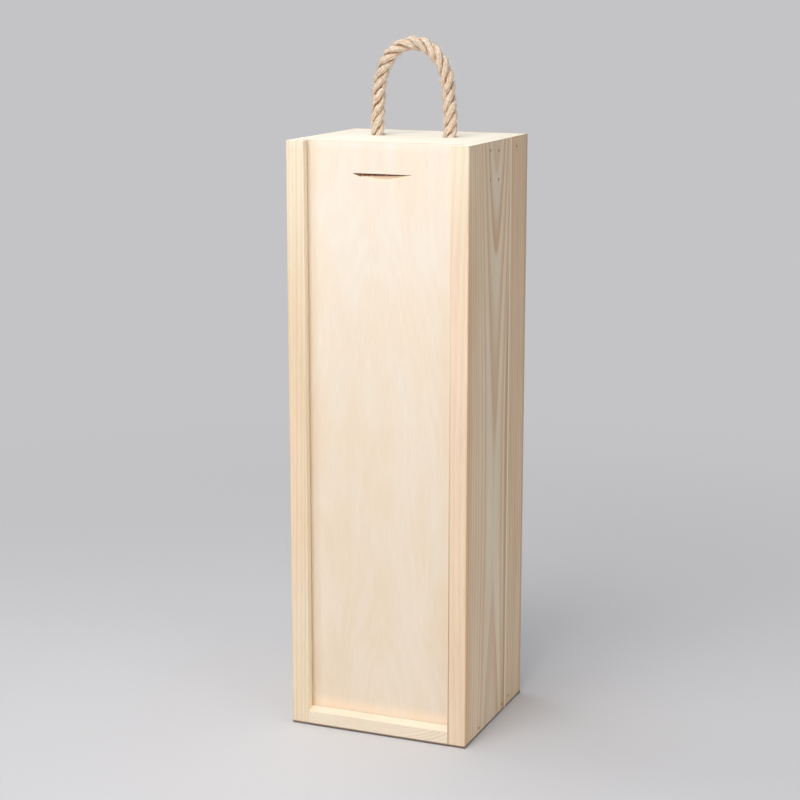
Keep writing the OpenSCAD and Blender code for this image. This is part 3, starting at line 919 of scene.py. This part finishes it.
sideLooks = {
    "right": {"pith": (0.01306, -0.0045, 0.136), "seam": 0.0192,
              "rear": {"pith": (0.020, 0.085, 0.175), "turn": (0.0, 0.006, 0.0), "tone": 0.36,
                       "resin": 0.6, "crest": 0.95},
              "rings": 2.5, "wander": 1.2, "uneven": 0.5, "bow": 1.2e-4, "late": 0.76,
              "shadeTowardsFoot": 0.55, "quiet": (0.0, 0.72, 0.0), "cool": 0.24, "seed": 4.0,
              "firstYear": 461.25, "flank": ("y", -0.036, -0.016, 0.7, 1.0),
              "zones": [
                  {"y": [(-0.035, -0.046)], "z": [(0.345, 0.26)], "faces": (0.9, 0.0, 0.0),
                   "tint": (0.93, 0.83, 0.71, 1.0)},
                  {"y": [(-0.035, -0.046)], "z": [(0.345, 0.26)], "faces": (0.0, 0.5, 0.5),
                   "tint": (0.96, 0.86, 0.86, 1.0)},
                  {"z": [(0.3490, 0.3496)], "tint": wood["greyer"]},
                  {"y": [(-0.024, -0.014), (0.004, -0.004)], "z": [(0.110, 0.080)], "amount": 0.35,
                   "blend": "MIX", "tint": colour(240, 222, 198)},
                  # painted shadow along the stile's inner front arris, beside the lid
                  {"x": [(0.0458, 0.0448)], "y": [(-0.0490, -0.0496)], "z": [(0.32, 0.05)],
                   "tint": wood["joint"]},
                  # painted bounce light on the faces inside the recess
                  {"x": [(0.0449, 0.0447)], "amount": 0.6, "blend": "MIX",
                   "tint": wood["inside"]},
              ]},
    "left": {"pith": (-0.0900, -0.0200, 0.175), "turn": (0.0, 0.012, 0.0), "seam": 0.004,
             "rear": {"pith": (-0.040, 0.030, 0.175), "turn": (0.0, -0.02, 0.0), "tone": 0.25},
             "rings": 2.1, "wander": 1.6, "late": 0.55, "shadeTowardsFoot": 0.25, "seed": 11.0,
             "quiet": (0.0, 0.5, 0.0),
             "zones": [
                 {"y": [(-0.035, -0.046)], "z": [(0.32, 0.24), (0.05, 0.12)],
                  "faces": (0.1, 0.5, 0.5), "tint": wood["warm"]},
                 {"z": [(0.3490, 0.3496)], "y": [(-0.030, 0.020)], "tint": wood["greyer"]},
                 # a painted highlight along the top of the front face
                 {"z": [(0.3445, 0.3485)], "faces": (0.0, 1.0, 0.0), "tint": wood["upperEdgeHighlight"]},
                 # painted bounce light on the faces inside the recess
                 {"x": [(-0.0449, -0.0447)], "amount": 0.6, "blend": "MIX",
                  "tint": wood["inside"]},
                 # painted shadow at the groove's mouth on the stile's inner face
                 {"x": [(-0.0449, -0.0447)], "y": [(-0.0460, -0.0450), (-0.0436, -0.0440)],
                  "amount": 0.3, "tint": wood["joint"]},
             ]},
}
acrossX = (0.0, math.pi / 2, 0.0)
topLook = {"pith": (0.0, -0.020, 0.300), "turn": acrossX, "seam": 0.0085,
           "rear": {"pith": (0.0, 0.060, 0.300), "turn": acrossX, "tone": 0.0},
           "rings": 2.6, "wander": 2.0, "late": 0.35, "seed": 21.0, "pale": 0.8,
           "zones": [
               {"y": [(-0.010, 0.040)], "z": [(0.3490, 0.3496)], "tint": wood["greyer"]},
               {"x": [(0.010, -0.035)], "y": [(-0.035, 0.025)], "z": [(0.3490, 0.3496)],
                "tint": wood["greyer"]},
           ]}
bottomLook = {"pith": (0.002, -0.050, 0.031), "turn": (0.0, math.pi / 2, 0.62),
              "rings": 1.7, "wander": 2.0, "late": 0.42, "shadeTowardsFoot": 0.22, "pale": 0.35,
              "quiet": (0.0, 0.0, 0.8), "seed": 31.0, "flank": ("x", -0.030, 0.035, 0.35, 1.3)}
battenLook = {"pith": (0.0, 0.010, 0.290), "turn": acrossX, "rings": 2.8, "wander": 2.5,
              "late": 0.6, "seed": 41.0}
makeBoards(boxSet)
print("boards made")


# The painted shadow in the notch: how far under its upper edge that begins, how much it rises
# from left to right, how ragged and how soft its edge is, and how it weakens at the ends.
notchShadowSet = {"under": 1.9, "taper": 0.046, "ragged": 0.8, "fade": 0.6,
               "ends": (20.0, 9.0, 0.35, 1.0)}

# Painted shade beside the left groove, warm and deeper right at it from light bounced off the stile;
# a painted highlight by the right groove; brighter above the lip; a painted highlight along the top.
lidShading = [
    {"x": [(-0.0370, -0.0410)], "tint": (0.93, 0.925, 0.91, 1.0)},
    {"x": [(-0.0418, -0.0446), (-0.0460, -0.0448)], "tint": (0.94, 0.84, 0.72, 1.0)},
    {"x": [(0.0405, 0.0440), (0.0455, 0.0446)], "z": [(0.30, 0.15)],
     "tint": (1.14, 1.05, 0.99, 1.0)},
    {"z": [(0.0205, 0.0125), (0.0106, 0.0116)], "tint": (1.13, 1.07, 1.01, 1.0)},
    {"z": [(0.3445, 0.3485)], "tint": wood["upperEdgeHighlight"]},
]
onlyFront = [(-0.0418, -0.0428)]    # in y, so that the rear stays plain


def makeLid(size):
    outline = rectangle(-size["halfWidth"], size["halfWidth"], size["front"], size["rear"])
    lid = board("sliding_lid", outline, "Z", size["foot"], size["top"], lambda point: False)

    def notch(shape):
        # a slice of a wide cone, so that the notch has a straight upper edge
        half, deep = size["notchWidth"] / 2, size["notchDeep"]
        radius = (half ** 2 + deep ** 2) / (2 * deep)
        slope = deep / size["notchHigh"]
        place = Vector((size["notchX"], size["front"] - radius + deep, size["notchTop"]))
        down = size["notchHigh"] + 1
        turned(shape, [(radius, 0), (radius - slope * down, down)], place, Vector((0, 0, -1)), 384)

    carved(lid, notch)
    top = size["notchTop"]
    cut = lid.data.attributes.new("notchCut", "FLOAT", "FACE")
    around = 0.1        # the faces just above and below count too

    def inNotch(place):
        level = top - size["notchHigh"] - around < place.z < top + around
        return level and place.y > size["front"] + close and abs(place.x) < size["notchWidth"]

    cut.data.foreach_set("value", [float(inNotch(face.center)) for face in lid.data.polygons])
    notchShadow = {**notchShadowSet, "foot": top - notchShadowSet["under"]}
    zones = [{**zone, "y": onlyFront} for zone in lidShading]
    done(lid, plywood("plywood lid", size["front"] * mm, 4.0, 1.0, footShadeAmount=0.8, notchShadow=notchShadow,
                      zones=zones), "lid", ["lid"])


makeLid(lidSet)
print("lid made")


# A row of nails: one nail turned to lie along the row's direction, set at each point.
def nailTree():
    floats = ("Length", "Shank", "Head", "Head Height", "Sunk", "Point")
    n, given = newGroup("Nail row", "GeometryNodeTree", {
        "Geometry": "Geometry", **dict.fromkeys(floats, 0.0), "Into": "Vector",
        "Material": "Material"})

    def cone(low, high, begin, finish, sides):
        made = n.geometry("MeshCone", {
            "Vertices": sides, "Radius Bottom": low, "Radius Top": high,
            "Depth": n.maths("SUBTRACT", finish, begin)})
        return n.geometry("Transform", {"Geometry": made, "Translation": n.joined(0.0, 0.0, begin)})

    head, rim = n.times(given["Head"], 0.5), n.times(given["Head"], 0.42)
    shank = n.times(given["Shank"], 0.5)
    face = n.maths("MULTIPLY_ADD", given["Head Height"], 0.2, given["Sunk"])
    shoulder = n.maths("ADD", given["Sunk"], given["Head Height"])
    tip = n.maths("SUBTRACT", given["Length"], given["Point"])
    parts = [
        cone(rim, head, given["Sunk"], face, 32),
        cone(head, head, face, shoulder, 32),
        cone(shank, shank, shoulder, tip, 20),
        cone(shank, n.times(shank, 0.25), tip, given["Length"], 20),
    ]
    nail = n.add("GeometryNodeJoinGeometry")
    for part in reversed(parts):
        n.link(part, nail.inputs[0])
    points = n.geometry("MeshToPoints", {"Mesh": given["Geometry"]})
    aim = n.add("FunctionNodeAlignRotationToVector", {"Vector": given["Into"]}, axis="Z").outputs[0]
    row = n.geometry("InstanceOnPoints", {
        "Points": points, "Instance": nail.outputs[0], "Rotation": aim})
    return finishTree(n, [row], given["Material"])


def makeNails(size):
    tree = nailTree()
    for name, (length, into, places) in nailRows.items():
        points = bpy.data.meshes.new(name)
        points.from_pydata([place * mm for place in places], [], [])
        mesh = runTree("row_" + name, points, tree, {
            "Length": length * mm, "Shank": size["shank"] * mm, "Head": size["head"] * mm,
            "Head Height": size["headHeight"] * mm, "Sunk": size["sunk"] * mm,
            "Point": size["point"] * mm, "Into": into, "Material": steel})
        row = addObject("row_" + name, mesh)
        mesh.polygons.foreach_set("use_smooth", [True] * len(mesh.polygons))
        mesh.set_sharp_from_angle(angle=math.radians(40))
        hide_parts(name)
        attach(row, "box")


makeNails(nailSet)
print("nails made")


studioSet = {
    "radius": 3.0,
    "floor": colour(212, 211, 213),
    "backdrop": colour(196, 196, 198),
    "fade": (0.05, 0.85),   # where the floor's own light gives way to the backdrop's
    "sky": colour(222, 224, 228),
    "ambient": 0.31,
    "aim": (0, 0, 0.18),    # what the lamps point at
}
lamps = {
    # name: where it stands, its width, its power in watts
    "key": ((-0.20, -0.83, 1.30), 0.9, 8.75),
    "front": ((0.0, -1.2, 1.0), 1.0, 7.4),
    "fill": ((1.6, -0.9, 0.9), 1.2, 6.6),
    "over": ((0.1, 0.2, 1.7), 0.9, 2.3),
    "above left": ((-0.5, 0.1, 1.3), 0.8, 4.1),
}


def seenDirectly(n):
    # 1 for the camera, for mirror reflections and through glass
    path = n.add("ShaderNodeLightPath").outputs
    found = n.maths("MAXIMUM", path["Is Camera Ray"], path["Is Glossy Ray"])
    return n.maths("MAXIMUM", found, path["Is Transmission Ray"])


def makeFloor(size):
    material, n, shader = newMaterial("studio paper")
    shader.inputs["Base Color"].default_value = size["floor"]
    shader.inputs["Roughness"].default_value = 0.9
    shader.inputs["Specular IOR Level"].default_value = 0.2
    away = n.vectors("LENGTH", n.coordinate(), out="Value")
    glow = n.add("ShaderNodeEmission", {"Color": size["backdrop"]}).outputs[0]
    share = n.times(n.smooth(away, *size["fade"]), seenDirectly(n))
    paper = n.add("ShaderNodeMixShader", {0: share, 1: shader.outputs[0], 2: glow})
    clear = n.add("ShaderNodeBsdfTransparent").outputs[0]
    under = n.add("ShaderNodeNewGeometry").outputs["Backfacing"]
    final = n.add("ShaderNodeMixShader", {0: under, 1: paper.outputs[0], 2: clear})
    n.link(final.outputs[0], n.tree.nodes["Material Output"].inputs["Surface"])
    mesh = bpy.data.meshes.new("floor")
    sides = 96
    around = [2 * math.pi * k / sides for k in range(sides)]
    mesh.from_pydata([(size["radius"] * math.cos(a), size["radius"] * math.sin(a), 0)
                      for a in around], [], [list(range(sides))])
    mesh.materials.append(material)
    floor = addObject("floor", mesh)


def makeLight(size):
    world = bpy.data.worlds.new("studio")
    scene.world = world
    world.use_nodes = True
    n = Nodes(world.node_tree)
    tint = n.mix(seenDirectly(n), size["sky"], size["backdrop"])
    power = n.maths("MULTIPLY_ADD", seenDirectly(n), 1 - size["ambient"], size["ambient"])
    background = n.tree.nodes["Background"]
    n.link(tint, background.inputs["Color"])
    n.link(power, background.inputs["Strength"])
    for name, (where, width, power) in lamps.items():
        lamp = bpy.data.lights.new(name, "AREA")
        lamp.shape, lamp.size, lamp.energy = "SQUARE", width, power
        holder = addObject(name, lamp)
        holder.location = where
        aim = Vector(where) - Vector(size["aim"])
        holder.rotation_euler = aim.to_track_quat("Z", "Y").to_euler()


makeFloor(studioSet)
makeLight(studioSet)
print("studio made")
